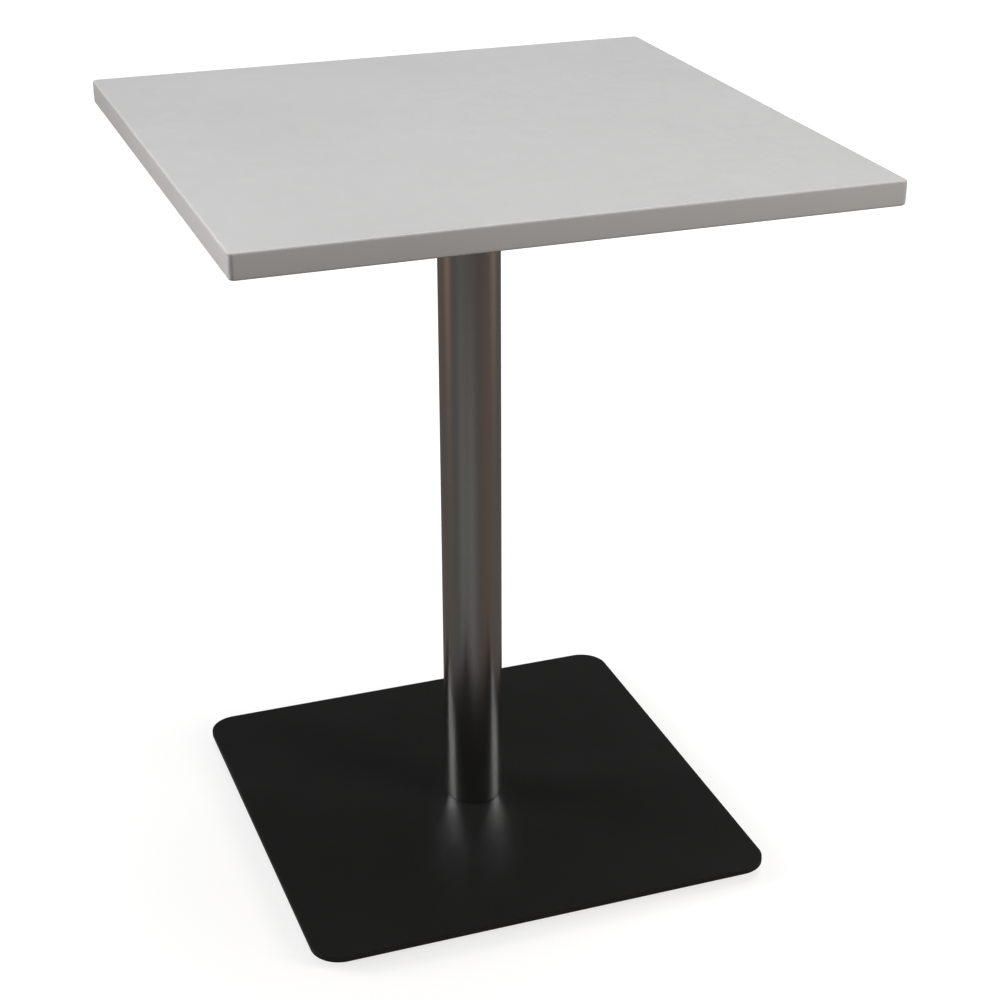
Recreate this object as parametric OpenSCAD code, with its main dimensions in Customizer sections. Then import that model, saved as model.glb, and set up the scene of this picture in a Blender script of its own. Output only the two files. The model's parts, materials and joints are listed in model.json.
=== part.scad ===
// Square bistro table: a pale moulded top, a round brushed column and a thin black base plate on four feet.
// Units are millimetres. The origin is on the floor under the middle of the table, +Z is up, and the front
// edge faces -Y.

/* [Table] */
// Height from the floor to the upper face of the tabletop, with the feet screwed in
table_h = 750; // [650:5:1100]

/* [Tabletop] */
// Side of the square tabletop
top_w = 600; // [500:10:800]
// Thickness of the tabletop
top_t = 23; // [22:1:40]
// Radius of the tabletop's upright corners
top_corner_r = 5; // [4:0.5:40]
// Radius of the edges that run round the tabletop, above and below
top_edge_r = 2; // [1.5:0.5:3.5]
// Thickness of the decor skin and of the film under the core
skin_t = 0.8; // [0.5:0.1:1]

/* [Mounting plate] */
// Side of the square plate under the tabletop
plate_w = 280; // [200:10:320]
// Thickness of the plate
plate_t = 5; // [5:0.5:8]
// Radius of the plate's corners
plate_corner_r = 18; // [6:1:30]
// Distance from the plate's edge to the tabletop screws
plate_screw_inset = 20; // [18:1:30]

/* [Column] */
// Outside diameter of the column
column_d = 62; // [60:1:90]
// Wall thickness of the column tube
column_wall = 2; // [1.5:0.5:3]
// Height of the threaded boss in each end of the tube
boss_h = 14; // [12:1:20]
// Pitch circle diameter of the screws that hold the column
column_screw_pcd = 38; // [34:1:38]
// Thickness of the gasket between the column and the base plate
gasket_t = 0.5; // [0.5:0.5:2]

/* [Base plate] */
// Side of the square base plate
base_w = 484; // [400:2:600]
// Thickness of the base plate
base_t = 6; // [5:0.5:10]
// Radius of the base plate's corners
base_corner_r = 30; // [20:1:60]
// Radius of the base plate's upper edge
base_edge_r = 1; // [0.5:0.5:2]

/* [Levelling feet] */
// Distance from the base plate's edge to each foot's axis
foot_inset = 60; // [45:1:90]
// Diameter of a foot's pad
pad_d = 32; // [26:1:40]
// Height of a foot's pad
pad_h = 3.5; // [3.5:0.5:5]
// Thread diameter of a foot's stud
stud_d = 8; // [6:1:8]

/* [Hidden] */
$fn = 64;

// Colours
top_colour = [0.80, 0.80, 0.80];
core_colour = [0.72, 0.60, 0.44];
steel_colour = [0.46, 0.44, 0.42];
zinc_colour = [0.75, 0.76, 0.78];
brass_colour = [0.80, 0.66, 0.36];
black_colour = [0.11, 0.11, 0.11];
plastic_colour = [0.06, 0.06, 0.06];

// How far a cutter runs past the face that it cuts
eps = 1;
// Radial clearance of a screw in its hole
screw_gap = 0.1;

// Levelling feet: the bush under the plate, the hexagon's room below it, and the disc that the pad holds
bush_h = 4;
bush_d = 18;
hex_room = 2.5;
hex_gap = 0.2;
hex_across = 11;
disc_d = 14;
disc_t = 1.5;
pocket_floor = 1.3;
pocket_gap = 0.15;
pocket_lip = 0.6;
pad_edge_r = 0.6;
stud_gap = 0.05;
stud_tip = 0.6;
// Steel left over the blind hole for a stud, and the room above the stud's end
plate_left = 2;
stud_end_gap = 0.5;

// Heights of the faces where the parts meet
bush_z = pad_h + hex_room;
base_z = bush_z + bush_h;
stud_hole_h = base_t - plate_left;
gasket_z = base_z + base_t;
column_z = gasket_z + gasket_t;
top_z = table_h - top_t;
plate_z = top_z - plate_t;
column_h = plate_z - column_z;
stud_top_z = base_z + stud_hole_h - stud_end_gap;

// M8 countersunk screws of the column
m8_r = 4;
m8_head_r = 7.8;
m8_head_h = 3.8;
m8_socket_across = 5;
m8_socket_depth = 2.5;
head_screw_l = 16;
foot_screw_l = 16;

// M6 screws, washers and inserts of the tabletop
m6_r = 3;
m6_head_r = 5.25;
m6_head_h = 3.3;
m6_socket_across = 4;
m6_socket_depth = 2;
m6_washer_r = 6.2;
m6_washer_t = 1.6;
m6_shank_l = 16;
insert_r = 5;
insert_h = 12;
insert_gap = 1;

foot_reach = base_w / 2 - foot_inset;
plate_screw_reach = plate_w / 2 - plate_screw_inset;
column_angles = [45 : 90 : 315];
FRONT_LEFT = [-foot_reach, -foot_reach, 0];
FRONT_RIGHT = [foot_reach, -foot_reach, 0];
BACK_LEFT = [-foot_reach, foot_reach, 0];
BACK_RIGHT = [foot_reach, foot_reach, 0];

// The eight tabletop screws lie on a square: one at each corner and one at the middle of each side
tabletop_screw_places = [
    for (x = [-1 : 1], y = [-1 : 1])
        if (x != 0 || y != 0)
            [x * plate_screw_reach, y * plate_screw_reach, 0]
];

// Radius of the circle round a hexagon that is given across its flats
function hex_r(across) = across / 2 / cos(30);

// Section of a slab's rim, from the corner's axis out to reach, rounded above and below
module rim_section(reach, t, above_r, below_r) {
    intersection() {
        square([reach, t]);
        union() {
            square([reach - below_r, t - above_r]);
            translate([0, below_r]) square([reach, t - above_r - below_r]);
            translate([0, below_r]) square([reach - above_r, t - below_r]);
            translate([reach - above_r, t - above_r]) circle(above_r);
            translate([reach - below_r, below_r]) circle(below_r);
        }
    }
}

// Square slab centred on the axis, with upright corners of corner_r and rounded edges above and below
module rounded_slab(side, t, corner_r, above_r, below_r) {
    straight = side - 2 * corner_r;
    union() {
        translate([-straight / 2, -straight / 2, 0]) cube([straight, straight, t]);
        for (turn = [0 : 90 : 270]) rotate([0, 0, turn]) {
            translate([straight / 2, straight / 2, 0]) rotate([90, 0, 0]) linear_extrude(straight)
                rim_section(corner_r, t, above_r, below_r);
            translate([straight / 2, straight / 2, 0]) rotate_extrude(angle = 90)
                rim_section(corner_r, t, above_r, below_r);
        }
    }
}

// Copies its children to each screw of the column
module at_column_screws() {
    for (turn = column_angles) rotate([0, 0, turn]) translate([column_screw_pcd / 2, 0, 0]) children();
}

// Copies its children to each screw of the tabletop
module at_tabletop_screws() {
    for (place = tabletop_screw_places) translate(place) children();
}

// Countersunk M8 screw of length l: its flat head is at z = 0 and it points up
module countersunk_screw(l) {
    difference() {
        union() {
            cylinder(h = m8_head_h, r1 = m8_head_r, r2 = m8_r);
            cylinder(h = l, r = m8_r - screw_gap);
        }
        translate([0, 0, -eps]) cylinder(h = m8_socket_depth + eps, r = hex_r(m8_socket_across), $fn = 6);
    }
}

// Hole for a countersunk screw through a plate of thickness t, its wide end at z = 0
module countersunk_hole(t) {
    translate([0, 0, -eps]) cylinder(h = t + 2 * eps, r = m8_r);
    translate([0, 0, -eps]) cylinder(h = eps, r = m8_head_r);
    cylinder(h = m8_head_h, r1 = m8_head_r, r2 = m8_r);
}

// Button-head M6 screw: the underside of its head is at z = 0 and it points up
module button_screw() {
    difference() {
        union() {
            translate([0, 0, -m6_head_h]) rotate_extrude() button_section();
            cylinder(h = m6_shank_l, r = m6_r - screw_gap);
        }
        translate([0, 0, -m6_head_h - eps])
            cylinder(h = m6_socket_depth + eps, r = hex_r(m6_socket_across), $fn = 6);
    }
}

// Half section of a button head: a domed face below and a straight rim above
module button_section() {
    rim_h = 0.6;
    dome_h = m6_head_h - rim_h;
    dome_r = (m6_head_r * m6_head_r + dome_h * dome_h) / (2 * dome_h);
    intersection() {
        square([m6_head_r, m6_head_h]);
        translate([0, dome_r]) circle(dome_r, $fn = 128);
    }
}

// Turned boss in an end of the tube, standing on z = 0, tapped for the column's screws
module column_boss() {
    difference() {
        cylinder(h = boss_h, r = column_d / 2 - column_wall);
        at_column_screws() translate([0, 0, -eps]) cylinder(h = boss_h + 2 * eps, r = m8_r);
    }
}

// Solid of the core with its rounded edges, inside the skin and the backer
module core_blank() {
    side = top_w - 2 * skin_t;
    edge_r = top_edge_r - skin_t;
    translate([0, 0, top_z + skin_t])
        rounded_slab(side, top_t - 2 * skin_t, top_corner_r - skin_t, edge_r, edge_r);
}

// Flat sheet that fills the underside of the tabletop inside its rounded rim
module backer_blank() {
    side = top_w - 2 * top_edge_r;
    corner_r = top_corner_r - top_edge_r + skin_t;
    translate([0, 0, top_z]) linear_extrude(skin_t) {
        square([side, side - 2 * corner_r], center = true);
        square([side - 2 * corner_r, side], center = true);
        for (x = [-1, 1], y = [-1, 1])
            translate([x, y] * (side / 2 - corner_r)) circle(corner_r);
    }
}

// Pressed decor skin over the top, round the edges and under the rim
module tabletop_skin() {
    color(top_colour) difference() {
        translate([0, 0, top_z]) rounded_slab(top_w, top_t, top_corner_r, top_edge_r, top_edge_r);
        core_blank();
        backer_blank();
    }
}

// Moulded wood-fibre core, bored from below for the inserts
module tabletop_core() {
    color(core_colour) difference() {
        core_blank();
        at_tabletop_screws() translate([0, 0, top_z]) cylinder(h = insert_h + insert_gap, r = insert_r);
    }
}

// Balancing film under the core
module tabletop_backer() {
    color(top_colour) difference() {
        backer_blank();
        at_tabletop_screws() translate([0, 0, top_z - eps]) cylinder(h = skin_t + 2 * eps, r = insert_r);
    }
}

// Threaded inserts pressed into the core, flush with the underside
module tabletop_inserts() {
    color(brass_colour) at_tabletop_screws() translate([0, 0, top_z]) difference() {
        cylinder(h = insert_h, r = insert_r);
        translate([0, 0, -eps]) cylinder(h = insert_h + 2 * eps, r = m6_r);
    }
}

// Plain washers between the screw heads and the mounting plate
module tabletop_washers() {
    color(zinc_colour) at_tabletop_screws() translate([0, 0, plate_z - m6_washer_t]) difference() {
        cylinder(h = m6_washer_t, r = m6_washer_r);
        translate([0, 0, -eps]) cylinder(h = m6_washer_t + 2 * eps, r = m6_r + 2 * screw_gap);
    }
}

// Button-head screws up through the mounting plate into the inserts
module tabletop_screws() {
    color(zinc_colour) at_tabletop_screws() translate([0, 0, plate_z - m6_washer_t]) button_screw();
}

// Steel plate that carries the tabletop
module mounting_plate() {
    edge_r = 0.5;
    hole_r = m6_r + 0.3;
    color(black_colour) translate([0, 0, plate_z]) difference() {
        rounded_slab(plate_w, plate_t, plate_corner_r, edge_r, edge_r);
        at_tabletop_screws() translate([0, 0, -eps]) cylinder(h = plate_t + 2 * eps, r = hole_r);
        translate([0, 0, plate_t]) mirror([0, 0, 1]) at_column_screws() countersunk_hole(plate_t);
    }
}

// Screws from the mounting plate down into the column's head
module column_head_screws() {
    color(zinc_colour) translate([0, 0, top_z]) mirror([0, 0, 1]) at_column_screws()
        countersunk_screw(head_screw_l);
}

// Boss welded flush into the tube's upper end
module column_head_boss() {
    color(steel_colour) translate([0, 0, plate_z - boss_h]) column_boss();
}

// Brushed stainless tube
module column_tube() {
    color(steel_colour) translate([0, 0, column_z]) difference() {
        cylinder(h = column_h, r = column_d / 2);
        translate([0, 0, -eps]) cylinder(h = column_h + 2 * eps, r = column_d / 2 - column_wall);
    }
}

// Boss welded flush into the tube's lower end
module column_foot_boss() {
    color(steel_colour) translate([0, 0, column_z]) column_boss();
}

// Thin ring that keeps the column off the base plate's paint
module column_gasket() {
    gasket_inset = 0.5;
    color(plastic_colour) translate([0, 0, gasket_z]) difference() {
        cylinder(h = gasket_t, r = column_d / 2 - gasket_inset);
        at_column_screws() translate([0, 0, -eps]) cylinder(h = gasket_t + 2 * eps, r = m8_r);
    }
}

// Steel plate on the floor side, countersunk from below, with a blind tapped hole over each foot
module base_plate() {
    below_r = 0.5;
    color(black_colour) translate([0, 0, base_z]) difference() {
        rounded_slab(base_w, base_t, base_corner_r, base_edge_r, below_r);
        at_column_screws() countersunk_hole(base_t);
        for (place = [FRONT_LEFT, FRONT_RIGHT, BACK_LEFT, BACK_RIGHT])
            translate(place) translate([0, 0, -eps]) cylinder(h = stud_hole_h + eps, r = stud_d / 2);
    }
}

// Screws from below the base plate up into the column's foot
module column_foot_screws() {
    color(zinc_colour) translate([0, 0, base_z]) at_column_screws() countersunk_screw(foot_screw_l);
}

// Threaded bush welded under the base plate
module leveller_bush(place) {
    color(black_colour) translate(place) translate([0, 0, bush_z]) difference() {
        cylinder(h = bush_h, r = bush_d / 2);
        translate([0, 0, -eps]) cylinder(h = bush_h + 2 * eps, r = stud_d / 2);
    }
}

// Threaded stud: a disc held in the pad, a neck, a hexagon for the spanner and the thread
module leveller_stud(place) {
    thread_r = stud_d / 2 - stud_gap;
    disc_z = pocket_floor + pocket_gap;
    hex_z = pad_h + hex_gap;
    color(zinc_colour) translate(place) {
        translate([0, 0, disc_z]) cylinder(h = disc_t, r = disc_d / 2);
        translate([0, 0, disc_z]) cylinder(h = stud_top_z - stud_tip - disc_z, r = thread_r);
        translate([0, 0, hex_z]) cylinder(h = hex_room - 2 * hex_gap, r = hex_r(hex_across), $fn = 6);
        translate([0, 0, stud_top_z - stud_tip])
            cylinder(h = stud_tip, r1 = thread_r, r2 = thread_r - stud_tip);
    }
}

// Moulded pad with a pocket that snaps over the stud's disc
module leveller_pad(place) {
    color(plastic_colour) translate(place) difference() {
        rotate_extrude() rim_section(pad_d / 2, pad_h, pad_edge_r, pad_edge_r);
        translate([0, 0, pocket_floor])
            cylinder(h = disc_t + 2 * pocket_gap, r = disc_d / 2 + 2 * pocket_gap);
        translate([0, 0, pocket_floor]) cylinder(h = pad_h, r = disc_d / 2 - pocket_lip);
    }
}

tabletop_skin();
tabletop_core();
tabletop_backer();
tabletop_inserts();
tabletop_washers();
tabletop_screws();
mounting_plate();
column_head_screws();
column_head_boss();
column_tube();
column_foot_boss();
column_gasket();
base_plate();
column_foot_screws();
leveller_bush(FRONT_LEFT);  // leveller_bush_front_left
leveller_bush(FRONT_RIGHT);  // leveller_bush_front_right
leveller_bush(BACK_LEFT);  // leveller_bush_back_left
leveller_bush(BACK_RIGHT);  // leveller_bush_back_right
leveller_stud(FRONT_LEFT);  // leveller_stud_front_left
leveller_stud(FRONT_RIGHT);  // leveller_stud_front_right
leveller_stud(BACK_LEFT);  // leveller_stud_back_left
leveller_stud(BACK_RIGHT);  // leveller_stud_back_right
leveller_pad(FRONT_LEFT);  // leveller_pad_front_left
leveller_pad(FRONT_RIGHT);  // leveller_pad_front_right
leveller_pad(BACK_LEFT);  // leveller_pad_back_left
leveller_pad(BACK_RIGHT);  // leveller_pad_back_right
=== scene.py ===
import json
import math

import bmesh
import bpy
from mathutils import Matrix, Vector

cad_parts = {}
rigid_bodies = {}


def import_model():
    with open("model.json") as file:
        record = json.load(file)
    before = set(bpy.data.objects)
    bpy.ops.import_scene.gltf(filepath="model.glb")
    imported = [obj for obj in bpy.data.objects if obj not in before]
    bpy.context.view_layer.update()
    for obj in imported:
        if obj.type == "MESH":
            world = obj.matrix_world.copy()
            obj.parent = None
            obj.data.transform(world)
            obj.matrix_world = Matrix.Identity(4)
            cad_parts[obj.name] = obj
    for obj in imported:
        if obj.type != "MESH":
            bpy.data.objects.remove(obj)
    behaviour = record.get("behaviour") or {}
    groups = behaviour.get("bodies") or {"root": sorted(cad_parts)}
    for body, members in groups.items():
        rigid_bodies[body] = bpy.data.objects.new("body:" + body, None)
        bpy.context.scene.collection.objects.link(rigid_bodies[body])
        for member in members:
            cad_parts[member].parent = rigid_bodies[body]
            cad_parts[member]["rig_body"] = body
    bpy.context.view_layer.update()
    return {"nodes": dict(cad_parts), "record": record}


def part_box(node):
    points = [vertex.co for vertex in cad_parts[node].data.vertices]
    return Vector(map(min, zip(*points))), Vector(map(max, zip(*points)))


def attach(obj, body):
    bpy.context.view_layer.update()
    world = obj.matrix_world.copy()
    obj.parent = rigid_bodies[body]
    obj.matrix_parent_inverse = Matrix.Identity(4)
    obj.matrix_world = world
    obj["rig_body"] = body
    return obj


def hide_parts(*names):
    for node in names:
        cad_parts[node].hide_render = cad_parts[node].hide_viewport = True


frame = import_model()

# The looks of a square bistro table. Lengths are in metres and angles in degrees,
# unless a name says otherwise.

MM = 0.001
CORNERS = ("front_left", "front_right", "back_left", "back_right")

# Places and sizes that the frame gives
skin_low, skin_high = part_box("tabletop_skin")
backer_low, backer_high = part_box("tabletop_backer")
tube_low, tube_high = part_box("column_tube")
gasket_low, gasket_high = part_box("column_gasket")
base_low, base_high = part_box("base_plate")

# Roundings and details that the boxes do not tell
TOP_CORNER_R = 5.0 * MM
TOP_EDGE_R = 2.0 * MM
TOP_CROWN_R = 190.0 * MM
SKIN_T = 0.8 * MM
SKIN_LIP_R = 0.25 * MM
BASE_CORNER_R = 30.0 * MM
BASE_EDGE_R = 1.0 * MM
BASE_LOWER_EDGE_R = 0.5 * MM
TUBE_WALL = 2.0 * MM
TUBE_END_R = 0.4 * MM
GASKET_WIDTH = 9.0 * MM
GASKET_EDGE_R = 0.3 * MM

# The column's M8 countersunk screws, and the blind holes that take the studs of the feet
SCREW_COUNT = 4
SCREW_CIRCLE_D = 38.0 * MM
SCREW_HOLE_R = 4.1 * MM
SCREW_SINK_R = 7.9 * MM
STUD_HOLE_R = 4.0 * MM
STUD_HOLE_H = 4.0 * MM

# The levelling feet
THREAD_R = 3.95 * MM
THREAD_ROOT_R = 3.4 * MM
THREAD_PITCH = 1.25 * MM
THREAD_FLATNESS = 1.25
THREAD_RINGS_PER_TURN = 10
STUD_TIP = 0.6 * MM
STUD_DISC_R = 7.0 * MM
STUD_DISC_T = 1.5 * MM
STUD_DISC_EDGE = 0.2 * MM
HEXAGON_ACROSS = 11.0 * MM
HEXAGON_H = 2.1 * MM
HEXAGON_GAP = 0.2 * MM
HEXAGON_BEVEL = 0.35 * MM
BUSH_EDGE_R = 0.4 * MM
WELD_R = 1.3 * MM
WELD_RIPPLE = 0.12 * MM
WELD_RIPPLES = 24

# How finely round shapes are divided: along an edge's rounding, round a corner, and right round an axis
TOP_EDGE_STEPS = 8
TOP_CORNER_STEPS = 12
BASE_EDGE_STEPS = 6
BASE_CORNER_STEPS = 40
SMALL_EDGE_STEPS = 4
SOFTEN_STEPS = 3
WELD_STEPS = 6
TUBE_SEGMENTS = 160
GASKET_SEGMENTS = 128
FOOT_SEGMENTS = 96
HOLE_SEGMENTS = 48

# Working values for meshes: flat faces start a little inside a rounded rim, cutters reach past the slab,
# and a softened corner takes at most a share of either side
FLAT_INSET = 1.0 * MM
CUT_PAST = 1.0 * MM
MERGE_DISTANCE = 1e-7
ON_AXIS = 1e-9
SHARP_ANGLE = 30.0
LONGEST_CUT = 0.45


# ---------------------------------------------------------------- meshes


def shade(mesh):
    """Smooth shading that breaks at sharp edges."""
    mesh.shade_smooth()
    mesh.set_sharp_from_angle(angle=math.radians(SHARP_ANGLE))


def make_object(name, bm):
    """Links a finished bmesh as an object."""
    bmesh.ops.remove_doubles(bm, verts=bm.verts, dist=MERGE_DISTANCE)
    bmesh.ops.recalc_face_normals(bm, faces=bm.faces)
    mesh = bpy.data.meshes.new(name)
    bm.to_mesh(mesh)
    bm.free()
    shade(mesh)
    piece = bpy.data.objects.new(name, mesh)
    bpy.context.scene.collection.objects.link(piece)
    return piece


def arc(centre, radius, start, end, steps):
    """Points on an arc in a plane, from the angle start to the angle end."""
    turns = [math.radians(start + (end - start) * i / steps) for i in range(steps + 1)]
    return [(centre[0] + radius * math.cos(a), centre[1] + radius * math.sin(a)) for a in turns]


def rounded_square(side, corner_r, steps):
    """Outline of a square with round corners, centred on the axis, anticlockwise."""
    reach = side / 2 - corner_r
    points = []
    for i, (x, y) in enumerate(((1, 1), (-1, 1), (-1, -1), (1, -1))):
        points += arc((x * reach, y * reach), corner_r, 90 * i, 90 * i + 90, steps)
    return points


def ring_on(outline, height):
    """Lifts a plane outline to a height."""
    return [(x, y, height) for x, y in outline]


def slab_rings(side, low, high, corner_r, upper_r, lower_r, steps, around, crown_r=0.0):
    """Rings of a rounded slab from its lower face, round its rim, to its upper face.

    With a crown radius the rim bulges, and its middle reaches the full side.
    """
    lower = [(lower_r - x, low + lower_r + z) for x, z in arc((0, 0), lower_r, -90, 0, steps)]
    upper = [(upper_r - x, high - upper_r + z) for x, z in arc((0, 0), upper_r, 0, 90, steps)]
    start, end = low + lower_r, high - upper_r
    middle = [(0.0, start + (end - start) * i / steps) for i in range(1, steps)] if crown_r else []
    rings = []
    for d, z in lower + middle + upper:
        if crown_r:
            d += (z - (start + end) / 2) ** 2 / (2 * crown_r)
        rings.append(ring_on(rounded_square(side - 2 * d, corner_r - d, around), z))
    return rings


def loft(bm, rings, cap_ends=True):
    """Joins rings of equal length with quads, and caps both ends unless told not to."""
    rows = [[bm.verts.new(p) for p in ring] for ring in rings]
    for a, b in zip(rows, rows[1:]):
        for i in range(len(a)):
            j = (i + 1) % len(a)
            bm.faces.new((a[i], a[j], b[j], b[i]))
    if cap_ends:
        bm.faces.new(list(reversed(rows[0])))
        bm.faces.new(rows[-1])


def lathe(bm, profile, segments, place=(0, 0)):
    """Turns a closed profile of (radius, height) points round an upright axis through place."""
    rows = []
    for r, z in profile:
        if r < ON_AXIS:
            rows.append([bm.verts.new((place[0], place[1], z))])
            continue
        ring = []
        for i in range(segments):
            a = 2 * math.pi * i / segments
            ring.append(bm.verts.new((place[0] + r * math.cos(a), place[1] + r * math.sin(a), z)))
        rows.append(ring)
    for a, b in zip(rows, rows[1:] + rows[:1]):
        if len(a) == 1 and len(b) == 1:
            continue
        for i in range(segments):
            j = (i + 1) % segments
            quad = [a[i % len(a)], a[j % len(a)], b[j % len(b)], b[i % len(b)]]
            bm.faces.new(list(dict.fromkeys(quad)))


def soften(points, radius):
    """Rounds every corner of a closed profile by a small radius."""
    out = []
    count = len(points)
    for i, p in enumerate(points):
        here = Vector(p)
        before = Vector(points[i - 1]) - here
        after = Vector(points[(i + 1) % count]) - here
        cut = min(radius, before.length * LONGEST_CUT, after.length * LONGEST_CUT)
        start = here + before.normalized() * cut
        end = here + after.normalized() * cut
        for k in range(SOFTEN_STEPS + 1):
            t = k / SOFTEN_STEPS
            out.append(tuple(start * (1 - t) ** 2 + here * 2 * t * (1 - t) + end * t * t))
    return out


def carve(piece, cutters):
    """Cuts the closed shells of a bmesh out of a piece."""
    mesh = bpy.data.meshes.new("cutters")
    cutters.to_mesh(mesh)
    cutters.free()
    tool = bpy.data.objects.new("cutters", mesh)
    bpy.context.scene.collection.objects.link(tool)
    cut = piece.modifiers.new("cut", "BOOLEAN")
    cut.operation = "DIFFERENCE"
    cut.solver = "EXACT"
    cut.object = tool
    graph = bpy.context.evaluated_depsgraph_get()
    carved = bpy.data.meshes.new_from_object(piece.evaluated_get(graph))
    piece.modifiers.clear()
    piece.data = carved
    shade(carved)
    bpy.data.objects.remove(tool)


# ---------------------------------------------------------------- camera

CAMERA_PLACE = (-0.6268, -1.8343, 1.2576)
CAMERA_YAW = 20.42
CAMERA_PITCH = 26.44
CAMERA_ROLL = 0.17
CAMERA_LENS_MM = 75.22
CAMERA_SENSOR_MM = 36
CAMERA_SHIFT = (-0.0225, 0.0608)
CAMERA_CLIP_END = 200


def build_camera():
    """The camera, at the place and the viewing angle that were fitted to the photograph."""
    data = bpy.data.cameras.new("camera")
    data.sensor_width = CAMERA_SENSOR_MM
    data.lens = CAMERA_LENS_MM
    data.shift_x, data.shift_y = CAMERA_SHIFT
    data.clip_end = CAMERA_CLIP_END
    camera = bpy.data.objects.new("camera", data)
    camera.location = CAMERA_PLACE
    yaw_turn = Matrix.Rotation(math.radians(-CAMERA_YAW), 4, "Z")
    pitch_turn = Matrix.Rotation(math.radians(90 - CAMERA_PITCH), 4, "X")
    roll_turn = Matrix.Rotation(math.radians(CAMERA_ROLL), 4, "Z")
    camera.rotation_euler = (yaw_turn @ pitch_turn @ roll_turn).to_euler()
    bpy.context.scene.collection.objects.link(camera)
    bpy.context.scene.camera = camera


build_camera()


# ---------------------------------------------------------------- materials

# A Mix node repeats its socket names for each type of data, so its colour sockets are found by number
MIX_SHARE = 0
MIX_FIRST = 6
MIX_SECOND = 7
MIX_RESULT = 2

# Noise seldom leaves this stretch of 0 to 1
NOISE_LOW = 0.3
NOISE_HIGH = 0.7


class Nodes:
    """Short calls for building a material's node tree."""

    def __init__(self, name):
        self.material = bpy.data.materials.new(name)
        self.material.use_nodes = True
        self.tree = self.material.node_tree
        self.shader = self.tree.nodes["Principled BSDF"]
        self.coordinates = self.tree.nodes.new("ShaderNodeTexCoord").outputs["Object"]

    def fill(self, socket, value):
        """Links a socket to another one, or sets it to a plain value."""
        if isinstance(value, bpy.types.NodeSocket):
            self.tree.links.new(value, socket)
        else:
            socket.default_value = value

    def add(self, kind, values, **settings):
        """Adds a node with its settings, and fills the sockets that values names."""
        node = self.tree.nodes.new(kind)
        for key, value in settings.items():
            setattr(node, key, value)
        for key, value in values.items():
            self.fill(node.inputs[key], value)
        return node

    def stretched(self, scale):
        """Object coordinates multiplied by scale along each axis."""
        return self.add("ShaderNodeMapping", {"Vector": self.coordinates, "Scale": scale}).outputs["Vector"]

    def noise(self, scale, detail=2.0, roughness=0.5, vector=None):
        """Noise of a scale, over the object's own coordinates unless told otherwise."""
        values = {
            "Vector": vector or self.coordinates,
            "Scale": scale,
            "Detail": detail,
            "Roughness": roughness,
        }
        return self.add("ShaderNodeTexNoise", values).outputs["Fac"]

    def ramp(self, value, low, high):
        """Maps the usual stretch of a noise onto low to high."""
        values = {
            "Value": value,
            "From Min": NOISE_LOW,
            "From Max": NOISE_HIGH,
            "To Min": low,
            "To Max": high,
        }
        return self.add("ShaderNodeMapRange", values).outputs["Result"]

    def mix(self, share, first, second):
        """Blends two colours by a share from 0 to 1."""
        values = {MIX_SHARE: share, MIX_FIRST: first, MIX_SECOND: second}
        return self.add("ShaderNodeMix", values, data_type="RGBA").outputs[MIX_RESULT]

    def bump(self, height, distance, strength=1.0):
        """A surface that a noise raises by up to distance."""
        values = {"Height": height, "Distance": distance, "Strength": strength}
        return self.add("ShaderNodeBump", values).outputs["Normal"]

    def set(self, **sockets):
        """Sets or links the shader's sockets; an underscore in a name stands for a space."""
        for key, value in sockets.items():
            self.fill(self.shader.inputs[key.replace("_", " ")], value)
        return self.material


def grey(value, warmth=0.0):
    """A grey of one linear value, a little redder and less blue by warmth."""
    return (value * (1 + warmth), value, value * (1 - warmth), 1.0)


def laminate_material():
    """Pale grey pressed decor skin: faint clouds of painted reflection, fine speckle and a pressed
    orange-peel surface.
    """
    n = Nodes("decor_laminate")
    # The clouds in the colour are painted reflection: lighter and darker patches that stand in for the room
    # mirrored in the top
    clouds = n.ramp(n.noise(scale=5.0, detail=3.0, roughness=0.55), low=0.0, high=1.0)
    colour = n.mix(clouds, grey(0.545), grey(0.575))
    speckle = n.ramp(n.noise(scale=1400.0, detail=1.0), low=0.0, high=0.35)
    colour = n.mix(speckle, colour, grey(0.50))
    rough = n.ramp(n.noise(scale=60.0, detail=3.0), low=0.30, high=0.38)
    peel = n.bump(n.noise(scale=420.0), distance=0.02 * MM, strength=0.5)
    return n.set(Base_Color=colour, Roughness=rough, Normal=peel, IOR=1.5)


def film_material():
    """Balancing film under the top: a duller grey with a fine pressed texture."""
    n = Nodes("balancing_film")
    clouds = n.ramp(n.noise(scale=18.0, detail=4.0), low=0.0, high=1.0)
    colour = n.mix(clouds, grey(0.40, warmth=0.01), grey(0.46, warmth=0.01))
    grain = n.noise(scale=900.0, vector=n.stretched((1.0, 0.35, 1.0)))
    rough = n.ramp(n.noise(scale=120.0), low=0.50, high=0.62)
    texture = n.bump(grain, distance=0.05 * MM, strength=0.6)
    return n.set(Base_Color=colour, Roughness=rough, Normal=texture)


def core_material():
    """Pressed wood-fibre core."""
    n = Nodes("fibre_board")
    fibres = n.noise(scale=500.0, detail=4.0, roughness=0.6, vector=n.stretched((1.0, 0.2, 1.0)))
    share = n.ramp(fibres, low=0.0, high=1.0)
    colour = n.mix(share, (0.30, 0.20, 0.12, 1), (0.52, 0.38, 0.24, 1))
    return n.set(Base_Color=colour, Roughness=0.85, Normal=n.bump(fibres, distance=0.1 * MM))


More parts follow.
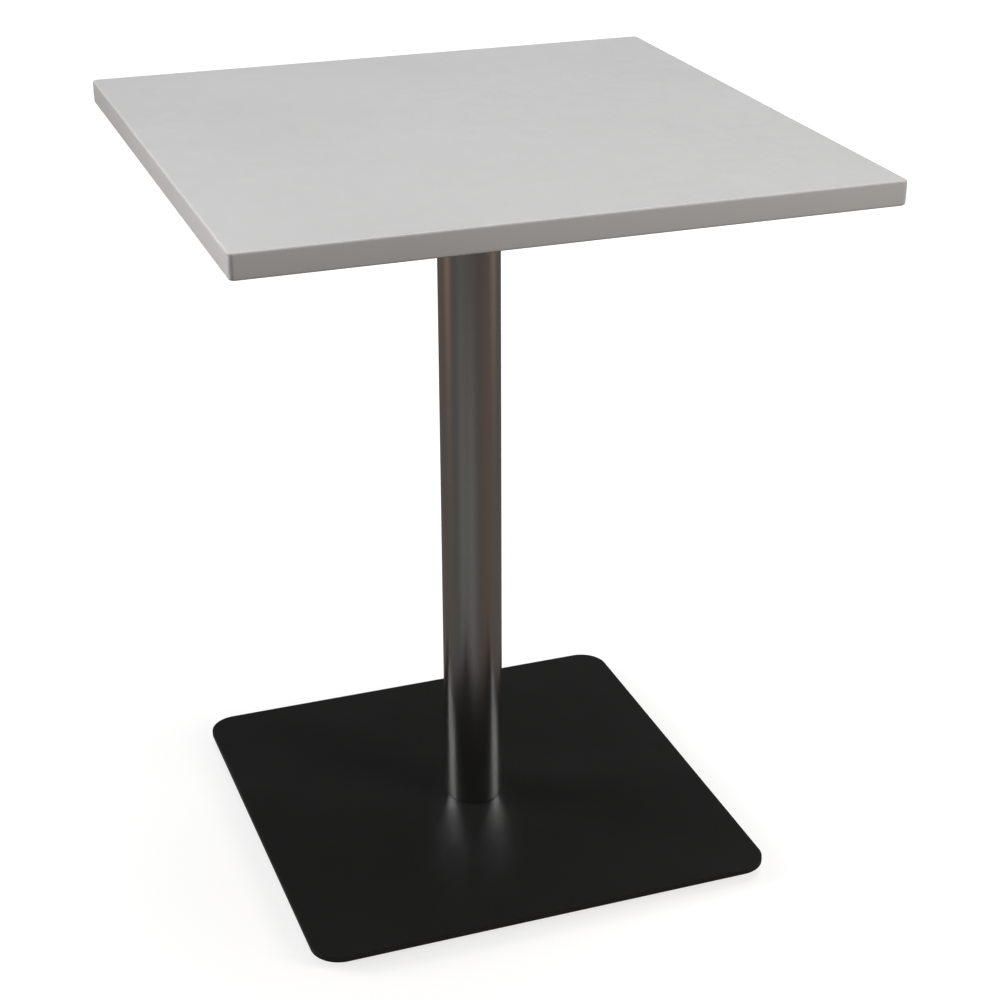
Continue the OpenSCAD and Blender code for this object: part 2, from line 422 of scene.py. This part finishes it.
def stainless_material():
    """Satin stainless tube, polished round its girth: level scratches and reflections drawn out upright."""
    n = Nodes("brushed_stainless")
    fine = n.noise(scale=1.0, detail=4.0, roughness=0.7, vector=n.stretched((9.0, 9.0, 1100.0)))
    broad = n.noise(scale=1.0, vector=n.stretched((5.0, 5.0, 90.0)))
    share = n.ramp(fine, low=0.0, high=1.0)
    tangent = n.add("ShaderNodeTangent", {}, direction_type="RADIAL", axis="Z").outputs["Tangent"]
    return n.set(
        Base_Color=n.mix(share, grey(0.535, warmth=0.005), grey(0.565, warmth=0.005)),
        Metallic=1.0,
        Roughness=n.ramp(broad, low=0.205, high=0.22),
        Anisotropic=0.7,
        Anisotropic_Rotation=0.25,
        Tangent=tangent,
    )


def powder_material():
    """Satin black powder coat with fine orange peel and faint handling marks."""
    n = Nodes("black_powder_coat")
    marks = n.ramp(n.noise(scale=14.0, detail=5.0, roughness=0.6), low=0.0, high=1.0)
    colour = n.mix(marks, (0.0150, 0.0149, 0.0148, 1), (0.0168, 0.0167, 0.0166, 1))
    rough = n.ramp(n.noise(scale=35.0, detail=4.0, roughness=0.6), low=0.39, high=0.43)
    peel = n.bump(n.noise(scale=650.0), distance=0.012 * MM, strength=0.6)
    return n.set(Base_Color=colour, Roughness=rough, Normal=peel, IOR=1.5)


def zinc_material():
    """Bright zinc-plated steel with a faint mottled tint."""
    n = Nodes("zinc_plate")
    tint = n.ramp(n.noise(scale=220.0, detail=3.0), low=0.0, high=1.0)
    colour = n.mix(tint, (0.62, 0.63, 0.65, 1), (0.70, 0.69, 0.66, 1))
    rough = n.ramp(n.noise(scale=500.0), low=0.24, high=0.36)
    return n.set(Base_Color=colour, Metallic=1.0, Roughness=rough)


def boss_material():
    """Turned steel with fine tool rings."""
    n = Nodes("turned_steel")
    rings = n.noise(scale=1.0, vector=n.stretched((60.0, 60.0, 2500.0)))
    colour = n.mix(n.ramp(rings, low=0.0, high=1.0), grey(0.38, warmth=0.02), grey(0.48, warmth=0.02))
    return n.set(Base_Color=colour, Metallic=1.0, Roughness=0.38, Normal=n.bump(rings, distance=0.01 * MM))


def brass_material():
    """Turned brass."""
    n = Nodes("insert_brass")
    tint = n.ramp(n.noise(scale=300.0, detail=3.0), low=0.0, high=1.0)
    colour = n.mix(tint, (0.66, 0.47, 0.20, 1), (0.76, 0.58, 0.28, 1))
    return n.set(Base_Color=colour, Metallic=1.0, Roughness=0.34)


def rubber_material():
    """Matt black gasket rubber."""
    n = Nodes("gasket_rubber")
    share = n.ramp(n.noise(scale=400.0, detail=3.0), low=0.0, high=1.0)
    texture = n.bump(n.noise(scale=1500.0), distance=0.02 * MM)
    return n.set(Base_Color=n.mix(share, grey(0.010), grey(0.020)), Roughness=0.8, Normal=texture)


def nylon_material():
    """Moulded black nylon with a fine spark-eroded texture."""
    n = Nodes("pad_nylon")
    share = n.ramp(n.noise(scale=160.0, detail=3.0), low=0.0, high=1.0)
    rough = n.ramp(n.noise(scale=260.0), low=0.45, high=0.58)
    texture = n.bump(n.noise(scale=1900.0), distance=0.03 * MM, strength=0.7)
    return n.set(Base_Color=n.mix(share, grey(0.014), grey(0.024)), Roughness=rough, Normal=texture)


MATERIALS = {
    "decor_laminate": laminate_material(),
    "fibre_board": core_material(),
    "balancing_film": film_material(),
    "insert_brass": brass_material(),
    "zinc_steel": zinc_material(),
    "black_steel": powder_material(),
    "boss_steel": boss_material(),
    "brushed_stainless": stainless_material(),
    "gasket_rubber": rubber_material(),
    "pad_plastic": nylon_material(),
}

SLOT_OF_NODE = {s["node"]: s["material_slot"] for s in frame["record"]["subparts"]}


def dress(piece, slot_name):
    """Gives a piece the material of a record slot."""
    piece.data.materials.clear()
    piece.data.materials.append(MATERIALS[slot_name])


def stand_for(piece, *nodes):
    """Dresses a piece as the CAD nodes that it replaces, and lets it ride on their body."""
    dress(piece, SLOT_OF_NODE[nodes[0]])
    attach(piece, frame["nodes"][nodes[0]]["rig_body"])
    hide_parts(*nodes)


for node_name, node_object in frame["nodes"].items():
    dress(node_object, SLOT_OF_NODE[node_name])


# ---------------------------------------------------------------- tabletop


def build_tabletop_shell():
    """The pressed skin: a closed shell over the top, round the edges and under the rim."""
    side = skin_high.x - skin_low.x
    inner_low, inner_high = skin_low.z + SKIN_T, skin_high.z - SKIN_T
    outer = slab_rings(
        side, skin_low.z, skin_high.z, TOP_CORNER_R, TOP_EDGE_R, TOP_EDGE_R,
        TOP_EDGE_STEPS, TOP_CORNER_STEPS, TOP_CROWN_R,
    )
    inner_corner_r, inner_edge_r = TOP_CORNER_R - SKIN_T, TOP_EDGE_R - SKIN_T
    inner = slab_rings(
        side - 2 * SKIN_T, inner_low, inner_high, inner_corner_r, inner_edge_r, inner_edge_r,
        TOP_EDGE_STEPS, TOP_CORNER_STEPS,
    )
    backer_side = backer_high.x - backer_low.x
    lip_corner_r = TOP_CORNER_R - TOP_EDGE_R + SKIN_T
    lip_outlines = []
    lip = []
    for across, up in arc((SKIN_LIP_R, SKIN_LIP_R), SKIN_LIP_R, 180, 270, SMALL_EDGE_STEPS):
        outline = rounded_square(backer_side + 2 * across, lip_corner_r + across, TOP_CORNER_STEPS)
        lip_outlines.append(outline)
        lip.append(ring_on(outline, skin_low.z + up))
    flat_side = side - 2 * (TOP_EDGE_R + FLAT_INSET)
    flat = rounded_square(flat_side, TOP_CORNER_R - TOP_EDGE_R, TOP_CORNER_STEPS)
    ceiling = [ring_on(flat, inner_high)]
    lip_top = [ring_on(lip_outlines[0], inner_low)]
    table_face = [ring_on(flat, skin_high.z)]
    bm = bmesh.new()
    loft(bm, ceiling + list(reversed(inner)) + lip_top + lip + outer + table_face)
    stand_for(make_object("tabletop_shell", bm), "tabletop_skin")


build_tabletop_shell()


# ---------------------------------------------------------------- column


def build_ring(name, node, low, high, wall, edge_r, segments):
    """A round ring or tube that fills a node's box, with softened ends."""
    radius = (high.x - low.x) / 2
    bore = radius - wall
    profile = [(bore, low.z), (radius, low.z), (radius, high.z), (bore, high.z)]
    bm = bmesh.new()
    lathe(bm, soften(profile, edge_r), segments)
    stand_for(make_object(name, bm), node)


build_ring("column_shell", "column_tube", tube_low, tube_high, TUBE_WALL, TUBE_END_R, TUBE_SEGMENTS)
build_ring(
    "gasket_ring", "column_gasket", gasket_low, gasket_high, GASKET_WIDTH, GASKET_EDGE_R, GASKET_SEGMENTS
)


# ---------------------------------------------------------------- base plate


def foot_place(corner):
    """Where a levelling foot's axis stands on the floor."""
    low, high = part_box(f"leveller_pad_{corner}")
    return (low.x + high.x) / 2, (low.y + high.y) / 2


def base_flat(side, edge_r):
    """Outline of a flat face of the base plate, a little inside its rounded rim."""
    inset = edge_r + FLAT_INSET
    return rounded_square(side - 2 * inset, BASE_CORNER_R - inset, BASE_CORNER_STEPS)


def base_cutters():
    """The four countersunk screw holes, and the blind holes for the studs."""
    start, end = base_low.z - CUT_PAST, base_high.z + CUT_PAST
    # A 90 degree countersink is as deep as it is wide
    sink_end = base_low.z + SCREW_SINK_R - SCREW_HOLE_R
    stud_end = base_low.z + STUD_HOLE_H
    screw_hole = [
        (0, start), (SCREW_SINK_R, start), (SCREW_SINK_R, base_low.z),
        (SCREW_HOLE_R, sink_end), (SCREW_HOLE_R, end), (0, end),
    ]
    stud_hole = [(0, start), (STUD_HOLE_R, start), (STUD_HOLE_R, stud_end), (0, stud_end)]
    holes = bmesh.new()
    for i in range(SCREW_COUNT):
        turn = math.radians(45 + 90 * i)
        place = (SCREW_CIRCLE_D / 2 * math.cos(turn), SCREW_CIRCLE_D / 2 * math.sin(turn))
        lathe(holes, screw_hole, HOLE_SEGMENTS, place)
    for corner in CORNERS:
        lathe(holes, stud_hole, HOLE_SEGMENTS, foot_place(corner))
    bmesh.ops.recalc_face_normals(holes, faces=holes.faces)
    return holes


def build_base():
    """The base plate with its rounded rim and its holes."""
    side = base_high.x - base_low.x
    rings = [ring_on(base_flat(side, BASE_LOWER_EDGE_R), base_low.z)]
    rings += slab_rings(
        side, base_low.z, base_high.z, BASE_CORNER_R, BASE_EDGE_R, BASE_LOWER_EDGE_R,
        BASE_EDGE_STEPS, BASE_CORNER_STEPS,
    )
    rings.append(ring_on(base_flat(side, BASE_EDGE_R), base_high.z))
    bm = bmesh.new()
    loft(bm, rings)
    slab = make_object("base_slab", bm)
    carve(slab, base_cutters())
    stand_for(slab, "base_plate")


build_base()


# ---------------------------------------------------------------- levelling feet


def ring_at(place, height, radius_at):
    """A ring round an upright axis, with a radius that may vary with the angle."""
    turns = [2 * math.pi * i / FOOT_SEGMENTS for i in range(FOOT_SEGMENTS)]
    return [
        (place[0] + radius_at(a) * math.cos(a), place[1] + radius_at(a) * math.sin(a), height) for a in turns
    ]


def round_at(radius):
    """The same radius at every angle."""
    return lambda a: radius


def rippled_at(radius, swell):
    """A radius that swells and shrinks round the bush, as a weld bead does."""
    return lambda a: radius + swell * math.sin(WELD_RIPPLES * a)


def build_bush(corner):
    """A threaded bush with a rounded lower rim and a rippled weld bead round its foot."""
    node = f"leveller_bush_{corner}"
    low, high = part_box(node)
    place = foot_place(corner)
    radius = (high.x - low.x) / 2
    rim = low.z + BUSH_EDGE_R
    profile = [(STUD_HOLE_R, high.z), (STUD_HOLE_R, rim), (STUD_HOLE_R + BUSH_EDGE_R, low.z)]
    profile += arc((radius - BUSH_EDGE_R, rim), BUSH_EDGE_R, -90, 0, SMALL_EDGE_STEPS)
    rings = [ring_at(place, z, round_at(r)) for r, z in profile]
    for r, z in arc((radius + WELD_R, high.z - WELD_R), WELD_R, 180, 90, WELD_STEPS):
        swell = WELD_RIPPLE * math.sin(math.pi * (r - radius) / WELD_R)
        rings.append(ring_at(place, z, rippled_at(r, swell)))
    rings.append(rings[0])
    bm = bmesh.new()
    loft(bm, rings, cap_ends=False)
    stand_for(make_object(f"weld_bush_{corner}", bm), node)


def hexagon_at(limit):
    """Radius of the stud's hexagon, cut off at the limit."""
    side = math.radians(60)
    return lambda a: min(limit, HEXAGON_ACROSS / 2 / math.cos(a % side - side / 2))


def thread_at(z, start, end):
    """Radius of a right-handed thread at a height: it runs out at its start and narrows at its end."""
    run_out = min(1.0, (z - start) / THREAD_PITCH)
    tip = THREAD_R - max(0.0, z - (end - STUD_TIP))

    def radius_at(a):
        """One crest on the way round, which climbs by the pitch in a full turn."""
        turn = (z / THREAD_PITCH - a / (2 * math.pi)) % 1.0
        crest = min(1.0, THREAD_FLATNESS * (1 - abs(2 * turn - 1)))
        return min(tip, THREAD_ROOT_R + (THREAD_R - THREAD_ROOT_R) * crest * run_out)

    return radius_at


def build_stud(corner):
    """A levelling stud in one skin: the disc that the pad holds, the hexagon, and the M8 thread."""
    node = f"leveller_stud_{corner}"
    low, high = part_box(node)
    place = foot_place(corner)
    disc_top = low.z + STUD_DISC_T
    hexagon_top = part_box(f"leveller_bush_{corner}")[0].z - HEXAGON_GAP
    hexagon_low = hexagon_top - HEXAGON_H
    point_r = HEXAGON_ACROSS / 2 / math.cos(math.radians(30))
    cut_r = point_r - 2 * HEXAGON_BEVEL
    rows = [
        (low.z, round_at(STUD_DISC_R - STUD_DISC_EDGE)),
        (low.z + STUD_DISC_EDGE, round_at(STUD_DISC_R)),
        (disc_top - STUD_DISC_EDGE, round_at(STUD_DISC_R)),
        (disc_top, round_at(STUD_DISC_R - STUD_DISC_EDGE)),
        (disc_top, round_at(THREAD_ROOT_R)),
        (hexagon_low, round_at(THREAD_ROOT_R)),
        (hexagon_low, hexagon_at(cut_r)),
        (hexagon_low + HEXAGON_BEVEL, hexagon_at(point_r)),
        (hexagon_top - HEXAGON_BEVEL, hexagon_at(point_r)),
        (hexagon_top, hexagon_at(cut_r)),
    ]
    steps = round((high.z - hexagon_top) / (THREAD_PITCH / THREAD_RINGS_PER_TURN))
    for i in range(steps + 1):
        z = hexagon_top + (high.z - hexagon_top) * i / steps
        rows.append((z, thread_at(z, hexagon_top, high.z)))
    bm = bmesh.new()
    loft(bm, [ring_at(place, z, radius_at) for z, radius_at in rows])
    stand_for(make_object(f"threaded_stud_{corner}", bm), node)


for corner in CORNERS:
    build_bush(corner)
    build_stud(corner)


# ---------------------------------------------------------------- floor

FLOOR_REACH = 60.0
FLOOR_GAP = 0.05 * MM
FLOOR_GLOW = 0.72
FLOOR_FADE_START = 0.4
FLOOR_FADE_END = 2.2


def floor_material():
    """Pale paint with a glow of its own, which grows to full white away from the table."""
    n = Nodes("floor_paint")
    clouds = n.ramp(n.noise(scale=1.5, detail=3.0), low=0.0, high=1.0)
    away = n.add("ShaderNodeVectorMath", {0: n.coordinates}, operation="LENGTH").outputs["Value"]
    fade = {
        "Value": away,
        "From Min": FLOOR_FADE_START,
        "From Max": FLOOR_FADE_END,
        "To Min": FLOOR_GLOW,
        "To Max": 1.0,
    }
    glow = n.add("ShaderNodeMapRange", fade).outputs["Result"]
    n.set(Base_Color=n.mix(clouds, grey(0.36), grey(0.38)), Roughness=0.9, Specular_IOR_Level=0.0)
    return n.set(Emission_Color=(1.0, 1.0, 1.0, 1.0), Emission_Strength=glow)


def build_floor():
    """A wide pale floor that only the camera sees, so that the lights and the air alone light the table."""
    bm = bmesh.new()
    ends = ((-1, -1), (1, -1), (1, 1), (-1, 1))
    bm.faces.new([bm.verts.new((x * FLOOR_REACH, y * FLOOR_REACH, -FLOOR_GAP)) for x, y in ends])
    mesh = bpy.data.meshes.new("floor")
    bm.to_mesh(mesh)
    bm.free()
    floor = bpy.data.objects.new("floor", mesh)
    bpy.context.scene.collection.objects.link(floor)
    floor.data.materials.append(floor_material())
    floor.visible_glossy = False
    floor.visible_diffuse = False
    floor.visible_shadow = False


build_floor()


# ---------------------------------------------------------------- lights

# Tints
WHITE = (1, 1, 1)
SUNNY = (1.0, 0.935, 0.885)
PALE_SUN = (1.0, 0.98, 0.97)
COOL = (0.985, 0.99, 1.0)

# Where the lights are turned to: a place on the column, the front left corner of the top, a place before that
# corner, and the base plate's face to the left and right of the column
ON_COLUMN = (0, 0, 0.5)
BEAM_AHEAD = 0.7
FRONT_LEFT_CORNER = (skin_low.x, skin_low.y, skin_high.z)
BEFORE_FRONT_LEFT = (skin_low.x, skin_low.y - BEAM_AHEAD, skin_high.z)
LEFT_OF_FOOT = Vector((-0.066, 0.036, base_high.z))
RIGHT_OF_FOOT = Vector((0.074, -0.014, base_high.z))

# The cards: a pair on either side of the column, and within a pair one is turned and lifted from the other
CARD_SIZE = 0.12
CARD_DISTANCE = 0.34
CARD_ELEVATION = 24
CARD_SPREAD = 18
CARD_TURN = 9
CARD_LIFT = 0.025


def build_light(name, centre, azimuth, elevation, distance, size, power, aim=None, spread=180, tint=WHITE):
    """A square soft light at a distance from a centre.

    Azimuth is counted from the table's front to its right. The light faces its aim, or else the centre.
    """
    light = bpy.data.lights.new(name, "AREA")
    light.size = size
    light.energy = power
    light.color = tint
    light.spread = math.radians(spread)
    lamp = bpy.data.objects.new(name, light)
    across, up = math.radians(azimuth), math.radians(elevation)
    towards = Vector((math.sin(across) * math.cos(up), -math.cos(across) * math.cos(up), math.sin(up)))
    lamp.location = Vector(centre) + towards * distance
    sight = Vector(aim or centre) - lamp.location
    lamp.rotation_euler = sight.to_track_quat("-Z", "Y").to_euler()
    lamp.visible_camera = False
    bpy.context.scene.collection.objects.link(lamp)
    return lamp


def build_softbox(name, azimuth, elevation, distance, size, power, **settings):
    """A large light round the table. It only gives soft light, and no surface mirrors it."""
    lamp = build_light(name, ON_COLUMN, azimuth, elevation, distance, size, power, **settings)
    lamp.visible_glossy = False


def build_card(name, centre, azimuth, power):
    """A small narrow light near the column's foot. It only shows in glossy surfaces."""
    lamp = build_light(
        name, centre, azimuth, CARD_ELEVATION, CARD_DISTANCE, CARD_SIZE, power, spread=CARD_SPREAD
    )
    lamp.visible_diffuse = False


def build_lights():
    """Softboxes all round and overhead, and two pairs of cards that stand side by side near the foot."""
    build_softbox(
        "softbox_left", azimuth=-115, elevation=20, distance=4.0, size=2.5, power=20.6,
        aim=FRONT_LEFT_CORNER, spread=60, tint=PALE_SUN,
    )
    build_softbox(
        "beam_left", azimuth=-98, elevation=14, distance=3.0, size=1.2, power=4.1,
        aim=BEFORE_FRONT_LEFT, spread=50, tint=PALE_SUN,
    )
    build_softbox("fill_front", azimuth=-20, elevation=15, distance=3.5, size=1.6, power=5.4, tint=SUNNY)
    build_softbox("fill_right", azimuth=47, elevation=20, distance=3.0, size=1.2, power=47, tint=SUNNY)
    build_softbox("overhead", azimuth=130, elevation=81, distance=3.5, size=2.5, power=102, tint=COOL)
    for turn, lift in ((-CARD_TURN, -CARD_LIFT), (CARD_TURN, CARD_LIFT)):
        lifted = Vector((0, 0, lift))
        build_card("card_left", LEFT_OF_FOOT + lifted, azimuth=turn - 115, power=0.018)
        build_card("card_right", RIGHT_OF_FOOT + lifted, azimuth=turn + 77, power=0.017)


build_lights()


# ---------------------------------------------------------------- air and room

# The dim room that glossy surfaces mirror: flats of a few tones by azimuth, low down and near the horizon
WARM = (0.154, 0.114, 0.093)
SAND = (0.132, 0.113, 0.100)
GREY = (0.120, 0.114, 0.109)
PALE = (0.205, 0.196, 0.187)
ASH = (0.155, 0.147, 0.139)
DUSK = (0.111, 0.096, 0.085)
GLOW = (0.460, 0.325, 0.240)
FLATS_LOW = {
    -150: SAND, -108: SAND, -84: GREY, -70: GREY, -53: PALE, -32: ASH, -19: PALE,
    -4: ASH, 15: DUSK, 40: WARM, 56: WARM, 72: SAND, 125: GREY,
}
FLATS_NEAR_HORIZON = {
    -150: WARM, -122: WARM, -104: GLOW, -88: SAND, -70: GREY, -53: ASH, -32: SAND, -19: SAND,
    -4: SAND, 15: DUSK, 40: WARM, 60: WARM, 78: GLOW, 97: SAND, 125: GREY,
}
ROOM_ABOVE = (0.05, 0.05, 0.05)
AIR_BELOW = (0.108, 0.099, 0.091)
AIR_ABOVE = (0.12, 0.12, 0.12)
BACKDROP = (1.0, 1.0, 1.0)

# Elevations between which the lower flats give way to those near the horizon, and below turns into above
FLATS_MEET = (-20, -11)
HORIZON = (-5, 5)


def build_world():
    """Even air for soft light, a dim room for reflections, and a pale backdrop for the camera."""
    world = bpy.data.worlds.new("studio")
    world.use_nodes = True
    world.cycles.sampling_method = "NONE"
    bpy.context.scene.world = world
    tree = world.node_tree
    tree.nodes.clear()
    new, link = tree.nodes.new, tree.links.new

    def blend(share, first, second):
        """Mixes two colours by a share from 0 to 1."""
        node = new("ShaderNodeMix")
        node.data_type = "RGBA"
        link(share, node.inputs[MIX_SHARE])
        for index, value in ((MIX_FIRST, first), (MIX_SECOND, second)):
            if isinstance(value, bpy.types.NodeSocket):
                link(value, node.inputs[index])
            else:
                node.inputs[index].default_value = (*value, 1.0)
        return node.outputs[MIX_RESULT]

    split = new("ShaderNodeSeparateXYZ")
    link(new("ShaderNodeTexCoord").outputs["Generated"], split.inputs[0])
    forward = new("ShaderNodeMath")
    forward.operation = "MULTIPLY"
    link(split.outputs["Y"], forward.inputs[0])
    forward.inputs[1].default_value = -1.0
    azimuth = new("ShaderNodeMath")
    azimuth.operation = "ARCTAN2"
    link(split.outputs["X"], azimuth.inputs[0])
    link(forward.outputs[0], azimuth.inputs[1])
    turn = new("ShaderNodeMapRange")
    link(azimuth.outputs[0], turn.inputs["Value"])
    turn.inputs["From Min"].default_value = -math.pi
    turn.inputs["From Max"].default_value = math.pi

    def flats(tones):
        """Tones round the horizon, each at its azimuth in degrees, and grey behind the table."""
        node = new("ShaderNodeValToRGB")
        node.color_ramp.interpolation = "B_SPLINE"
        node.color_ramp.elements.remove(node.color_ramp.elements[1])
        node.color_ramp.elements[0].position = 0.0
        node.color_ramp.elements[0].color = (*GREY, 1.0)
        for degrees, tone in tones.items():
            node.color_ramp.elements.new((degrees + 180) / 360).color = (*tone, 1.0)
        link(turn.outputs["Result"], node.inputs["Fac"])
        return node.outputs["Color"]

    def rise(start, end):
        """0 below the elevation start and 1 above the elevation end, in degrees."""
        node = new("ShaderNodeMapRange")
        link(split.outputs["Z"], node.inputs["Value"])
        node.inputs["From Min"].default_value = math.sin(math.radians(start))
        node.inputs["From Max"].default_value = math.sin(math.radians(end))
        return node.outputs["Result"]

    low_room = blend(rise(*FLATS_MEET), flats(FLATS_LOW), flats(FLATS_NEAR_HORIZON))
    path = new("ShaderNodeLightPath")
    room = blend(rise(*HORIZON), low_room, ROOM_ABOVE)
    air = blend(rise(*HORIZON), AIR_BELOW, AIR_ABOVE)
    lit = blend(path.outputs["Is Glossy Ray"], air, room)
    seen = blend(path.outputs["Is Camera Ray"], lit, BACKDROP)
    background = new("ShaderNodeBackground")
    link(seen, background.inputs["Color"])
    link(background.outputs[0], new("ShaderNodeOutputWorld").inputs["Surface"])


build_world()
bpy.context.scene.view_settings.view_transform = "Standard"
